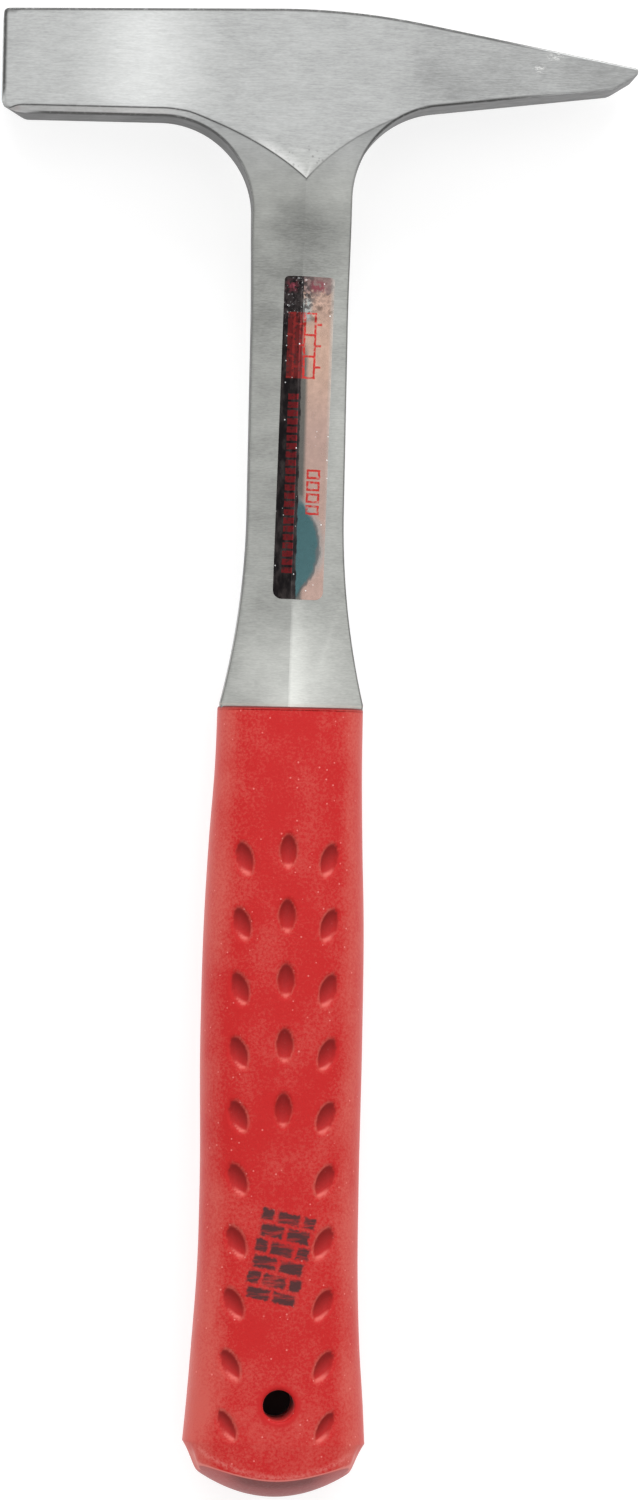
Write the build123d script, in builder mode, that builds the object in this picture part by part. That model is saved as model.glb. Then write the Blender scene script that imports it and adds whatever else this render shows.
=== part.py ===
"""Cross-peen hammer with a square poll: one steel forging, a moulded vinyl grip and a foil label.

The hammer lies on its side. +Y runs from the butt to the head, +X from the poll to the peen and
+Z is up, square to the head's flat side. The origin is the centre of the hang hole. Millimetres.
"""
from build123d import *
import os
from math import sqrt

# ---------------------------------------------------------------- driving dimensions
# head
head_half = 10.85            # half thickness of the head, from flat side to flat side
poll_x = -62.2               # striking face
poll_bottom_y = 263.65       # underside of the poll
poll_top_y = 285.0           # top of the striking face
crown_start = (-6.0, 286.18)     # where the top starts to curve over
crown_end = (24.5, 283.7)        # where the curve runs into the peen's straight top
peen_tip_x = 68.2
peen_tip_top_y = 275.55
peen_tip_bottom_y = 274.3
peen_bevel_end = (63.3, 271.25)  # the steep bevel under the tip ends here
peen_root = (36.5, 268.0)        # a point on the peen's straight underside
tip_radius = 0.5
poll_chamfer = 1.6           # long 45 degree chamfers under the poll
edge_bevel = 0.5             # small bevel on the head's upper edges and round the striking face
face_toe = (5.2, 3.2)        # large bevel on the lower edge of the striking face, along X and Y
face_corner_radius = 1.5
poll_fillet = 19.0           # inner corner between poll and shank
peen_fillet = 19.0           # inner corner between peen and shank

# shank: two shallow facets on each side that meet in a ridge on the centre line
shank_half = 9.9             # half width of the straight stretch
neck_half = 10.2             # half width just under the head
neck_y = 241.4
shank_top_y = 221.4          # the straight stretch runs between these two heights
shank_bottom_y = 183.4
ridge_half = 7.4             # ridge height over the middle plane
ridge_rise_y = 231.4         # above this the ridge curves up into the head
ridge_rise_radius = 58.0
ridge_flare_radius = 738.0   # slow rise of the ridge towards the grip
poll_facet_slope = 0.262     # drop of a facet for each millimetre away from the ridge
peen_facet_slope = 0.33
facet_reach = 21.5           # how far the facets reach to each side
facet_top_y = 271.4

# tang inside the grip
tang_half = 9.0
tang_thickness = 8.0
tang_end_y = 8.0             # the tang stops short of the hang hole, which is all in vinyl

# grip
grip_top_y = 143.1
grip_top_half = 14.8
butt_y = -19.3
butt_dome_radius = 24.0
butt_corner_y = -7.2         # the grip's sides are cut off on a slant below this height
butt_corner_slope = 2.0      # fall of that slant towards the middle
hang_hole_radius = 3.25
hang_hole_rim = 0.8
# stations down the grip: height, half width, offset of the middle, half thickness, corner radius
grip_stations = [
    (grip_top_y, grip_top_half, 0.0, 9.6, 6.6),
    (121.4, 15.5, -0.5, 11.0, 8.0),
    (95.4, 16.5, -0.6, 12.0, 9.0),
    (67.4, 16.6, -0.6, 12.3, 9.2),
    (39.4, 16.3, -0.4, 12.3, 9.2),
    (17.4, 17.0, -0.5, 12.5, 9.4),
    (-4.6, 18.7, -0.5, 13.0, 9.8),
    (-24.6, 19.6, -0.5, 13.3, 10.0),
]

# dimples: pointed ovals in two long side columns and one short middle column, on both faces
dimple_length = 7.6
dimple_width = 3.7
dimple_depth = 1.1
side_row_start, side_rows = 111.8, 10
side_row_pitch, side_row_closing = 13.45, 0.062   # the rows draw closer towards the butt
middle_row_start, middle_row_pitch, middle_rows = 113.5, 13.25, 5
side_column_share = 0.545    # side columns sit at this share of the half width
lean_top, lean_bottom = 15.0, 28.0   # lean of the side dimples at both ends of the grip

# foil label folded over the ridge
label_width = 10.4
label_length = 66.4
label_centre = (1.25, 198.4)
label_lean = 1.0             # degrees that its top leans towards the peen
label_corner = 1.8
foil_thickness = 0.15


# ---------------------------------------------------------------- shared shapes
def ridge_line(lift):
    """Draw the ridge's side profile, raised by lift, and return its lower and upper end."""
    start_rise = (shank_bottom_y - grip_top_y) ** 2 / (2 * ridge_flare_radius)
    top_rise = (facet_top_y - ridge_rise_y) ** 2 / (2 * ridge_rise_radius)
    middle_y = (ridge_rise_y + facet_top_y) / 2
    middle_rise = (middle_y - ridge_rise_y) ** 2 / (2 * ridge_rise_radius)
    low = ridge_half + lift
    flare = TangentArc((shank_bottom_y, low), (grip_top_y, low + start_rise), tangent=(-1, 0))
    straight = Line(flare @ 0, (ridge_rise_y, low))
    rise = ThreePointArc(
        straight @ 1, (middle_y, low + middle_rise), (facet_top_y, low + top_rise)
    )
    return flare @ 1, rise @ 1


def facet_prism(side, slope, lift, reach):
    """Cut away all above one facet: the ridge profile pushed sideways and downhill."""
    ceiling = 4 * head_half
    with BuildSketch(Plane.YZ) as over_ridge:
        with BuildLine():
            low_end, high_end = ridge_line(lift)
            Polyline(low_end, (low_end.X, ceiling), (high_end.X, ceiling), high_end)
        make_face()
    extrude(over_ridge.sketch, amount=reach, dir=(side, 0, -slope), mode=Mode.SUBTRACT)


def cut_facets(lift=0.0):
    """Cut both upper facets down to the ridge profile raised by lift."""
    facet_prism(-1, poll_facet_slope, lift, facet_reach)
    facet_prism(1, peen_facet_slope, lift, facet_reach)


def tang(mode):
    """Flat tang with a round end."""
    round_y = tang_end_y + tang_half
    with BuildSketch(Plane.XY.offset(-tang_thickness / 2)) as flat:
        with Locations((0, round_y)):
            Circle(tang_half)
        with Locations((0, (round_y + grip_top_y) / 2)):
            Rectangle(2 * tang_half, grip_top_y - round_y)
    extrude(flat.sketch, amount=tang_thickness, mode=mode)


def head_and_shank_outline():
    """Side view of the forging above the grip, with its two large inner corners."""
    peen_under_slope = (peen_bevel_end[1] - peen_root[1]) / (peen_bevel_end[0] - peen_root[0])
    peen_corner = (neck_half, peen_root[1] + (neck_half - peen_root[0]) * peen_under_slope)
    poll_corner = (-neck_half, poll_bottom_y)
    with BuildSketch() as outline:
        with BuildLine():
            top = Line((poll_x, poll_top_y), crown_start)
            crown = TangentArc(crown_start, crown_end, tangent=top % 1)
            Polyline(
                crown @ 1,
                (peen_tip_x, peen_tip_top_y),
                (peen_tip_x, peen_tip_bottom_y),
                peen_bevel_end,
                peen_corner,
                (neck_half, neck_y),
                (shank_half, shank_top_y),
                (shank_half, shank_bottom_y),
            )
            TangentArc((shank_half, shank_bottom_y), (grip_top_half, grip_top_y), tangent=(0, -1))
            Line((grip_top_half, grip_top_y), (-grip_top_half, grip_top_y))
            TangentArc((-shank_half, shank_bottom_y), (-grip_top_half, grip_top_y), tangent=(0, -1))
            Polyline(
                (-shank_half, shank_bottom_y),
                (-shank_half, shank_top_y),
                (-neck_half, neck_y),
                poll_corner,
                (poll_x + face_toe[0], poll_bottom_y),
                (poll_x, poll_bottom_y + face_toe[1]),
                (poll_x, poll_top_y),
            )
        make_face()
        for corner, radius in (
            (peen_corner, peen_fillet),
            (poll_corner, poll_fillet),
            ((peen_tip_x, peen_tip_top_y), tip_radius),
            ((peen_tip_x, peen_tip_bottom_y), tip_radius),
            ((poll_x, poll_top_y), face_corner_radius),
            ((poll_x, poll_bottom_y + face_toe[1]), 2 * face_corner_radius),
        ):
            fillet(outline.vertices().sort_by_distance(corner)[0], radius)
    return outline.sketch


# ---------------------------------------------------------------- steel forging
with BuildPart() as steel_forging:
    extrude(head_and_shank_outline(), amount=head_half, both=True)

    flat_edges = steel_forging.edges().filter_by(
        lambda e: abs(abs(e.center().Z) - head_half) < 0.01 and abs(e.bounding_box().size.Z) < 0.01
    )
    under_poll = flat_edges.filter_by(
        lambda e: poll_x + face_toe[0] - 0.1 < e.bounding_box().min.X
        and e.bounding_box().max.X < -neck_half + 0.1
        and e.bounding_box().min.Y > neck_y - 2 * poll_fillet
        and e.bounding_box().max.Y < poll_bottom_y + 0.1
    )
    chamfer(under_poll, poll_chamfer)

    upper_edges = steel_forging.edges().filter_by(
        lambda e: abs(abs(e.center().Z) - head_half) < 0.01
        and e.bounding_box().size.Z < 0.01
        and e.bounding_box().max.Y > poll_top_y - face_corner_radius - 1
        and e.bounding_box().max.X < peen_tip_x - 1
    )
    chamfer(upper_edges, edge_bevel)

    cut_facets()
    mirror(about=Plane.XY, mode=Mode.INTERSECT)
    tang(Mode.ADD)
steel_forging.part.label = "steel_forging"

# ---------------------------------------------------------------- vinyl grip
with BuildPart() as dimple_tool:
    half_length, half_width = dimple_length / 2, dimple_width / 2
    with BuildSketch():
        with BuildLine():
            ThreePointArc((0, -half_length), (half_width, 0), (0, half_length))
            Line((0, half_length), (0, -half_length))
        make_face()
    revolve(axis=Axis.Y)


def grip_at(height):
    """Half width, middle offset, half thickness and corner radius at a height, by interpolation."""
    for upper, lower in zip(grip_stations, grip_stations[1:]):
        if upper[0] >= height >= lower[0]:
            share = (upper[0] - height) / (upper[0] - lower[0])
            return [a + (b - a) * share for a, b in zip(upper[1:], lower[1:])]
    return list(grip_stations[-1][1:])


def dimple_places():
    """Centre and lean of each dimple on one face."""
    places = []
    for row in range(middle_rows):
        height = middle_row_start - row * middle_row_pitch
        middle = grip_at(height)[1]
        places.append((middle + 0.3, height, 0.0))
    for row in range(side_rows):
        height = side_row_start - row * side_row_pitch + row ** 2 * side_row_closing
        half, middle, _, _ = grip_at(height)
        lean = lean_top + (lean_bottom - lean_top) * row / (side_rows - 1)
        reach = half * side_column_share
        places.append((middle - reach, height, lean))
        places.append((middle + reach, height, -lean))
    return places


def grip_surface_z(x, height):
    """Height of the grip's upper surface over the middle plane."""
    half, middle, thick, radius = grip_at(height)
    past_flat = max(0.0, abs(x - middle) - (half - radius))
    return thick - radius + sqrt(radius ** 2 - past_flat ** 2)


with BuildPart() as vinyl_grip:
    for height, half, middle, thick, radius in grip_stations:
        with BuildSketch(Plane.XZ.offset(-height)):
            with Locations((middle, 0)):
                RectangleRounded(2 * half, 2 * thick, radius)
    loft()

    with BuildSketch():
        with BuildLine():
            dome = ThreePointArc(
                (0, butt_y),
                (butt_dome_radius * 0.6, butt_y + butt_dome_radius * 0.2),
                (butt_dome_radius, butt_y + butt_dome_radius),
            )
            Polyline(
                dome @ 1,
                (2 * butt_dome_radius, butt_y + butt_dome_radius),
                (2 * butt_dome_radius, butt_y - butt_dome_radius),
                (0, butt_y - butt_dome_radius),
                dome @ 0,
            )
        make_face()
    revolve(axis=Axis.Y, mode=Mode.SUBTRACT)

    half, middle, _, _ = grip_at(butt_corner_y)
    cut_y = 2 * butt_y
    cut_in = (butt_corner_y - cut_y) / butt_corner_slope
    with BuildSketch() as slants:
        for side in (1, -1):
            edge_x = middle + side * half
            with BuildLine():
                Polyline(
                    (edge_x, butt_corner_y),
                    (edge_x - side * cut_in, cut_y),
                    (edge_x + side * half, cut_y),
                    (edge_x + side * half, butt_corner_y),
                    close=True,
                )
            make_face()
    extrude(amount=2 * grip_stations[-1][3], both=True, mode=Mode.SUBTRACT)

    for face in (1, -1):
        for x, height, lean in dimple_places():
            sink = dimple_width / 2 - dimple_depth
            centre_z = face * (grip_surface_z(x, height) + sink)
            with Locations(Location((x, height, centre_z), (0, 0, lean))):
                add(dimple_tool.part, mode=Mode.SUBTRACT)

    tang(Mode.SUBTRACT)
    rim_z = grip_surface_z(0, 0)
    with Locations(Location((0, 0, rim_z)), Location((0, 0, -rim_z), (180, 0, 0))):
        CounterSinkHole(hang_hole_radius, hang_hole_radius + hang_hole_rim, counter_sink_angle=90)
vinyl_grip.part.label = "vinyl_grip"

# ---------------------------------------------------------------- foil label
with BuildPart() as foil_label:
    with BuildSketch():
        with Locations(label_centre):
            RectangleRounded(label_width, label_length, label_corner, rotation=-label_lean)
    extrude(amount=2 * ridge_half)
    cut_facets(foil_thickness)
    add(steel_forging.part, mode=Mode.SUBTRACT)
foil_label.part.label = "foil_label"

# ---------------------------------------------------------------- export
os.makedirs("parts", exist_ok=True)
for piece in (steel_forging, vinyl_grip, foil_label):
    export_step(piece.part, f"parts/{piece.part.label}.step")
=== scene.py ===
"""A one-piece steel hammer with a square poll, a short cross peen, a vinyl grip and a foil label.

The hammer lies on its side: +Y from butt to head, +X from poll to peen, +Z up. Shapes are worked out
in millimetres and written to the meshes in metres. The front is a height over the middle plane, and
the back is its mirror image.
"""
from functools import reduce
from math import atan, cos, log, pi, radians, sin, sqrt, tan

import bmesh
import bpy
import numpy as np
from mathutils import Matrix, Vector, kdtree, noise


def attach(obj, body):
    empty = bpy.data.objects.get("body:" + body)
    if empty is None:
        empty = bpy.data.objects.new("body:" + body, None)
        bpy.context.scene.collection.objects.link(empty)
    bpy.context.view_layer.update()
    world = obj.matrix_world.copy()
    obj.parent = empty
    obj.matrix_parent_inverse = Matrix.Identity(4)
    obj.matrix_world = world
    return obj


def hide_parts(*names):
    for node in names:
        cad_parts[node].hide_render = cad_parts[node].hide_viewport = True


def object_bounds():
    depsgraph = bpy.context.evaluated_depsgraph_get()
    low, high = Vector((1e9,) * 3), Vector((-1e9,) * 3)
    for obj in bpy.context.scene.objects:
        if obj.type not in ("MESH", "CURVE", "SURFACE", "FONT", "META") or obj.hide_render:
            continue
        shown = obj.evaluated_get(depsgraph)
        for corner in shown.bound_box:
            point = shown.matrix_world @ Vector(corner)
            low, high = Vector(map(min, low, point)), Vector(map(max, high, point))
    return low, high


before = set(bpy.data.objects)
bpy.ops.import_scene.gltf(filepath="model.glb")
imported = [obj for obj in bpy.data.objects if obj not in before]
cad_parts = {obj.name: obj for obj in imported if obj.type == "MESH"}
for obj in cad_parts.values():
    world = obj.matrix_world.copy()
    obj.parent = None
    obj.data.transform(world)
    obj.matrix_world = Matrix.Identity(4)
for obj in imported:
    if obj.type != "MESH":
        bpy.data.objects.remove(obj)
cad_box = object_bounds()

MM = 0.001

# -------- head and shank, in millimetres
HEAD_HALF = 10.85
POLL_X = -62.2
UNDERSIDE_Y = 263.65
TOP_SLOPE = radians(1.2)  # the top rises this much from the poll to the crown
CROWN_START = (-6.0, 286.18)
CROWN_RADIUS = 150.1
PEEN_SLOPE = radians(10.5)  # fall of the peen's top
TIP_X = 68.2
TIP_BOTTOM_Y = 274.3
BEVEL_START = (63.3, 271.25)  # steep bevel under the peen's tip
PEEN_UNDER = (36.5, 268.0, 0.122)  # a point on the peen's underside and its slope
TOE = (5.2, 3.2)  # bevel on the striking face's lower edge, along X and Y
TOE_SLANT = (2.5, 1.95)  # the bevel is this much smaller at the front than at the back
TOE_ROUND, TOE_SOFTNESS = 1.2, 0.15  # of the bevel's two ends
FACE_ROUND, TIP_ROUND = 1.0, 0.45  # of the outline's corners at the striking face and at the tip
CHAMFER = 1.6  # under the poll
FILLET = 19.0  # both inner corners
NECK_HALF = 10.2
SHANK_HALF = 9.9
SHANK_TOP_Y = 221.4
SHANK_LOW_Y = 183.4
FLARE_RADIUS = 166.0
SHANK_END_Y = 141.8  # the steel's flare ends just inside the grip
TUCK = 0.9  # and draws in this much there
EDGE_ROUND = 0.35  # rounding of every outer edge
FACE_EDGE_ROUND = 0.8  # and round the striking face

RIDGE = 7.4  # ridge height of the shank's two facets
RISE_Y, RISE_RADIUS = 231.4, 58.0  # where the ridge curves up into the head
SWELL_RADIUS = 738.0  # slow rise of the ridge towards the grip
RIDGE_X = (-0.95, 0.0133)  # the ridge's place at the grip and its drift with height
LEFT_FALL = (0.3045, 0.00227)  # fall of the facets away from the ridge: slope and curvature
RIGHT_FALL = (0.407, 0.0047)
FACETS_END = (24.0, 18.0)  # the facets fade out this far left and right of the ridge
FACETS_FADE = 4.0
CREASE_SOFTNESS, LINE_SOFTNESS = 0.07, 0.08  # of the creases, in height and in outline
SWAY = 0.05  # height of the ground faces' slow waves
TANG = (9.0, 4.0, 8.0)  # half width, half thickness and the height where its round end starts

# -------- grip, in millimetres
GRIP_TOP_Y = 143.1
RIM_Y = -8.0  # where the sides turn into the butt
BUTT_Y = -19.3
BUTT_RADII = (24.0, 21.0)  # of the domed butt, across X and across Z
SIDE_CUT, FRONT_CUT = 7.0, 40.0  # how steeply the sides and the front turn in to the dome
BUTT_SOFTNESS = 0.1  # of that turn
# stations down the grip: height, reach to the left, reach to the right, half thickness
GRIP_STATIONS = (
    (143.1, 15.15, 14.8, 9.6),
    (131.4, 15.4, 14.85, 10.5),
    (115.4, 16.35, 15.25, 11.3),
    (99.4, 17.0, 15.85, 11.9),
    (75.4, 17.25, 16.05, 12.3),
    (43.4, 16.75, 15.95, 12.3),
    (27.4, 16.95, 16.1, 12.35),
    (11.4, 17.85, 16.8, 12.6),
    (-0.6, 18.65, 17.75, 12.9),
    (-8.0, 19.25, 18.2, 13.1),
)
SECTION_POWER = 2.9  # squareness of the grip's section
HOLE_RADIUS, HOLE_RIM = 3.25, 0.7
HOLE_BLOCK = 5.0  # half side of the square of the mesh that the hole replaces

DIMPLE = (7.4, 3.7, 1.3)  # length, width and depth of a pointed dimple
MIDDLE_ROWS = (113.5, 13.25, 5)  # first height, pitch and count
SIDE_ROWS = (111.8, 13.45, 10)
SIDE_CLOSING = 0.062  # the side rows' pitch closes up towards the butt
MIDDLE_X = -0.3
SIDE_SHARE = 0.545  # side columns sit at this share of the half width
LEANS = (15.0, 28.0)  # lean of the side dimples at the top and the bottom

# -------- label, in millimetres
LABEL_CENTRE = (1.25, 198.4)
LABEL_SIZE = (10.4, 66.4)
LABEL_LEAN = radians(1.0)  # its top leans towards the peen
FOLD_X = (-1.07, 0.007)  # where the foil's two painted reflection tones meet, and its drift with height
LABEL_CORNERS = (1.8, 0.9)  # radius at the lower and the upper end
FOIL = 0.12

# -------- light and camera, in millimetres
SKY_LEVEL = 0.6
SKY_LEAN = (0.1, 0.18, 0.12)  # the sky's brightness grows this way
FLOOR_GLOW = 0.73
CAMERA_ROLL = radians(1.2)
CAMERA_AIM = (6.36, 134.5, 0)
CAMERA_RISE = 2000
CAMERA_SHIFT = (-82, -27)  # along the picture's right and up
VIEW_HEIGHT = 309.0  # what the picture's height spans at the aim


# -------- small helpers
def add(name, data):
    """Adds an object to the scene."""
    thing = bpy.data.objects.new(name, data)
    bpy.context.scene.collection.objects.link(thing)
    return thing


def smooth_min(values, softness):
    """The lowest of several arrays or numbers, with rounded changes from one to the next."""
    stack = np.stack(np.broadcast_arrays(*values))
    low = stack.min(axis=0)
    return low - softness * np.log(np.exp((low - stack) / softness).sum(axis=0))


def round_off(distance, radius):
    """How far a rounded edge lies below its face at a distance from the edge."""
    inside = np.clip(1 - distance / radius, 0, 1)
    return radius * (1 - np.sqrt(1 - inside ** 2))


def ease(low, high, value):
    """0 at low and 1 at high, with a smooth change between them."""
    t = np.clip((value - low) / (high - low), 0, 1)
    return t * t * (3 - 2 * t)


def hermite(at, knots, values):
    """Smooth curve through the knots, for arrays of positions."""
    knots, values = np.array(knots, float), np.array(values, float)
    slopes = np.gradient(values, knots)
    i = np.clip(np.searchsorted(knots, at) - 1, 0, len(knots) - 2)
    span = knots[i + 1] - knots[i]
    t = np.clip((at - knots[i]) / span, 0, 1)
    return (
        values[i] * (2 * t ** 3 - 3 * t ** 2 + 1)
        + values[i + 1] * (3 * t ** 2 - 2 * t ** 3)
        + slopes[i] * span * (t ** 3 - 2 * t ** 2 + t)
        + slopes[i + 1] * span * (t ** 3 - t ** 2)
    )


def along(points):
    """Distance travelled along a row of points."""
    steps = np.linalg.norm(np.diff(points, axis=0), axis=1)
    return np.concatenate([[0], np.cumsum(steps)])


def paint(piece, name, values):
    """Stores values(x, y, z), in millimetres, on each vertex for the piece's material to read by name."""
    points = np.array([vertex.co for vertex in piece.data.vertices]) / MM
    layer = piece.data.attributes.new(name, "FLOAT", "POINT")
    layer.data.foreach_set("value", values(*points.T).astype(np.float32))


class Shell:
    """Collects grids of points in millimetres and welds them into one mesh in metres."""

    def __init__(self):
        self.points = []
        self.faces = []
        self.count = 0

    def grid(self, points, closed=False):
        rows, columns = points.shape[:2]
        index = np.arange(rows * columns).reshape(rows, columns) + self.count
        if closed:
            index = np.hstack([index, index[:, :1]])
        quads = np.stack([index[:-1, :-1], index[:-1, 1:], index[1:, 1:], index[1:, :-1]], -1)
        self.faces.extend(quads.reshape(-1, 4).tolist())
        self.points.append(points.reshape(-1, 3))
        self.count += rows * columns

    def build(self, name, sharp_angle=32.0, weld=0.0015):
        mesh = bpy.data.meshes.new(name)
        mesh.from_pydata((np.vstack(self.points) * MM).tolist(), [], self.faces)
        bm = bmesh.new()
        bm.from_mesh(mesh)
        bmesh.ops.remove_doubles(bm, verts=bm.verts, dist=weld * MM)
        bmesh.ops.dissolve_degenerate(bm, edges=bm.edges, dist=weld * MM)
        bmesh.ops.recalc_face_normals(bm, faces=bm.faces)
        bm.to_mesh(mesh)
        bm.free()
        mesh.shade_smooth()
        mesh.set_sharp_from_angle(angle=radians(sharp_angle))
        return add(name, mesh)


# -------- steel forging
def head_top(x):
    """Upper outline of the head."""
    start_x, start_y = CROWN_START
    centre_x = start_x + CROWN_RADIUS * sin(TOP_SLOPE)
    centre_y = start_y - CROWN_RADIUS * cos(TOP_SLOPE)
    end_x = centre_x + CROWN_RADIUS * sin(PEEN_SLOPE)
    end_y = centre_y + CROWN_RADIUS * cos(PEEN_SLOPE)
    rise = start_y + (x - start_x) * tan(TOP_SLOPE)
    crown = centre_y + np.sqrt(CROWN_RADIUS ** 2 - (x - centre_x) ** 2)
    fall = end_y - (x - end_x) * tan(PEEN_SLOPE)
    y = np.where(x < start_x, rise, np.where(x < end_x, crown, fall))
    return y - round_off(x - POLL_X, FACE_ROUND) - round_off(TIP_X - x, TIP_ROUND)


LEFT_CENTRE = np.array([-NECK_HALF - FILLET, UNDERSIDE_Y - FILLET])
UNDER_ANGLE = atan(PEEN_UNDER[2])


def peen_under_line(x):
    return PEEN_UNDER[1] + PEEN_UNDER[2] * (x - PEEN_UNDER[0])


RIGHT_CENTRE = np.array([
    NECK_HALF + FILLET,
    peen_under_line(NECK_HALF + FILLET) - FILLET / cos(UNDER_ANGLE),
])
RIGHT_TANGENT_X = RIGHT_CENTRE[0] - FILLET * sin(UNDER_ANGLE)


def poll_under(x):
    """Lower outline of the poll, with the bevelled toe of the striking face."""
    toe = UNDERSIDE_Y + TOE[1] * (1 - (x - POLL_X) / TOE[0])
    return -smooth_min([-toe, -UNDERSIDE_Y], TOE_SOFTNESS) + round_off(x - POLL_X, TOE_ROUND)


def slant_toe(piece):
    """Slides the front of the toe's bevel outwards, so that its plane leans with the thickness."""
    for vertex in piece.data.vertices:
        x, y, z = vertex.co / MM
        past = x - POLL_X
        along_bevel = min(max(past / TOE[0], 0), 1)
        inside = y - UNDERSIDE_Y - TOE[1] * (1 - along_bevel)
        weight = ease(3.0, 0.0, inside) * ease(TOE[0] + 4, TOE[0], past)
        weight *= (z + HEAD_HALF) / (2 * HEAD_HALF)
        vertex.co.x -= TOE_SLANT[0] * along_bevel * weight * MM
        vertex.co.y -= TOE_SLANT[1] * (1 - along_bevel) * weight * MM


def peen_under(x):
    """Lower outline of the peen from its tip to where it meets the shank."""
    bevel_slope = (TIP_BOTTOM_Y - BEVEL_START[1]) / (TIP_X - BEVEL_START[0])
    bevel = BEVEL_START[1] + (x - BEVEL_START[0]) * bevel_slope
    line = -smooth_min([-peen_under_line(x), -bevel], LINE_SOFTNESS)
    reach = np.clip(x - RIGHT_CENTRE[0], -FILLET, FILLET)
    arc = RIGHT_CENTRE[1] + np.sqrt(FILLET ** 2 - reach ** 2)
    y = np.where(x < RIGHT_TANGENT_X, arc, line)
    return y + round_off(TIP_X - x, TIP_ROUND)


def ridge_height(y):
    rise = np.clip(y - RISE_Y, 0, None) ** 2 / (2 * RISE_RADIUS)
    swell = np.clip(SHANK_LOW_Y - y, 0, None) ** 2 / (2 * SWELL_RADIUS)
    return RIDGE + rise + swell


def ridge_x(y):
    return RIDGE_X[0] + RIDGE_X[1] * (y - GRIP_TOP_Y)


def facet_fall(across):
    """How far the facets lie below the ridge, by distance across it. They fade out past their ends."""
    left = across < 0
    slope = np.where(left, LEFT_FALL[0], RIGHT_FALL[0])
    bend = np.where(left, LEFT_FALL[1], RIGHT_FALL[1])
    reach = np.abs(across)
    past_end = np.clip(reach - np.where(left, *FACETS_END), 0, None)
    return slope * reach - bend * reach ** 2 - (past_end / FACETS_FADE) ** 2


def facets(x, y):
    """Height of the two facets over the middle plane."""
    return ridge_height(y) - facet_fall(x - ridge_x(y))


def above_poll_corner(x, y):
    """Distance over the poll's underside and round its inner corner."""
    dx, dy = x - LEFT_CENTRE[0], y - LEFT_CENTRE[1]
    corner = np.hypot(dx, dy) - FILLET
    return np.where(dx < 0, dy - FILLET, np.where(dy < 0, dx - FILLET, corner))


def side_edge(y):
    """Half width of neck, shank and flare."""
    neck = SHANK_HALF + (NECK_HALF - SHANK_HALF) * ease(SHANK_TOP_Y, LEFT_CENTRE[1], y)
    drop = np.clip(SHANK_LOW_Y - y, 0, None)
    flare = FLARE_RADIUS - np.sqrt(FLARE_RADIUS ** 2 - drop ** 2)
    return neck + flare - TUCK * ease(GRIP_TOP_Y + 0.4, SHANK_END_Y, y)


VERTEX_X = float(ridge_x(RISE_Y + sqrt(2 * RISE_RADIUS * (HEAD_HALF - RIDGE))))


def crease(x):
    """Lower border of the head's flat side: chamfer line, the V's two arms, then the peen's edge."""
    rise = HEAD_HALF - RIDGE + facet_fall(x - VERTEX_X)
    arm = RISE_Y + np.sqrt(2 * RISE_RADIUS * np.clip(rise, 0, None))
    reach = np.clip(x - LEFT_CENTRE[0], 0, FILLET + CHAMFER)
    line = LEFT_CENTRE[1] + np.sqrt((FILLET + CHAMFER) ** 2 - reach ** 2)
    left = np.where(x < LEFT_CENTRE[0], np.maximum(line, poll_under(x) + EDGE_ROUND), line)
    edge = np.where(x > NECK_HALF + 0.5, peen_under(np.maximum(x, NECK_HALF + 0.5)), 0) + EDGE_ROUND
    border = np.where(x < VERTEX_X, left, edge)
    near_facets = (x > -FACETS_END[0] - FACETS_FADE) & (x < FACETS_END[1] + FACETS_FADE)
    return np.where(near_facets, -smooth_min([-arm, -border], LINE_SOFTNESS), border)


def dense_start(start, reach, end, count):
    """Even positions from start to end, with closer ones over the first reach."""
    near = start + reach * np.linspace(0, 1, 60) ** 2
    return np.concatenate([near, np.linspace(start + reach, end, count)[1:]])


def lower_outline(x, under, centre, turns, side):
    """Points along an underside, round its inner corner and down the shank. side is -1 or 1."""
    turn = np.linspace(*turns, 300)[1:]
    arc = centre + FILLET * np.stack([np.cos(turn), np.sin(turn)], -1)
    y = np.linspace(centre[1], SHANK_END_Y, 600)[1:]
    shank = np.stack([side * side_edge(y), y], -1)
    return np.vstack([np.stack([x, under(x)], -1), arc, shank])


def head_columns():
    """Positions along the head, closer together at both ends, with one on the ridge."""
    ends = np.array([0, 0.04, 0.12, 0.26, 0.45, 0.7, 1.0, 1.35, 1.8])
    pitch = 0.7
    left_start, right_end = POLL_X + 2.4, TIP_X - 2.4
    left = np.linspace(left_start, VERTEX_X, int(-left_start / pitch))
    right = np.linspace(VERTEX_X, right_end, int(right_end / pitch))[1:]
    return np.concatenate([POLL_X + ends, left, right, (TIP_X - ends)[::-1]])


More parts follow.
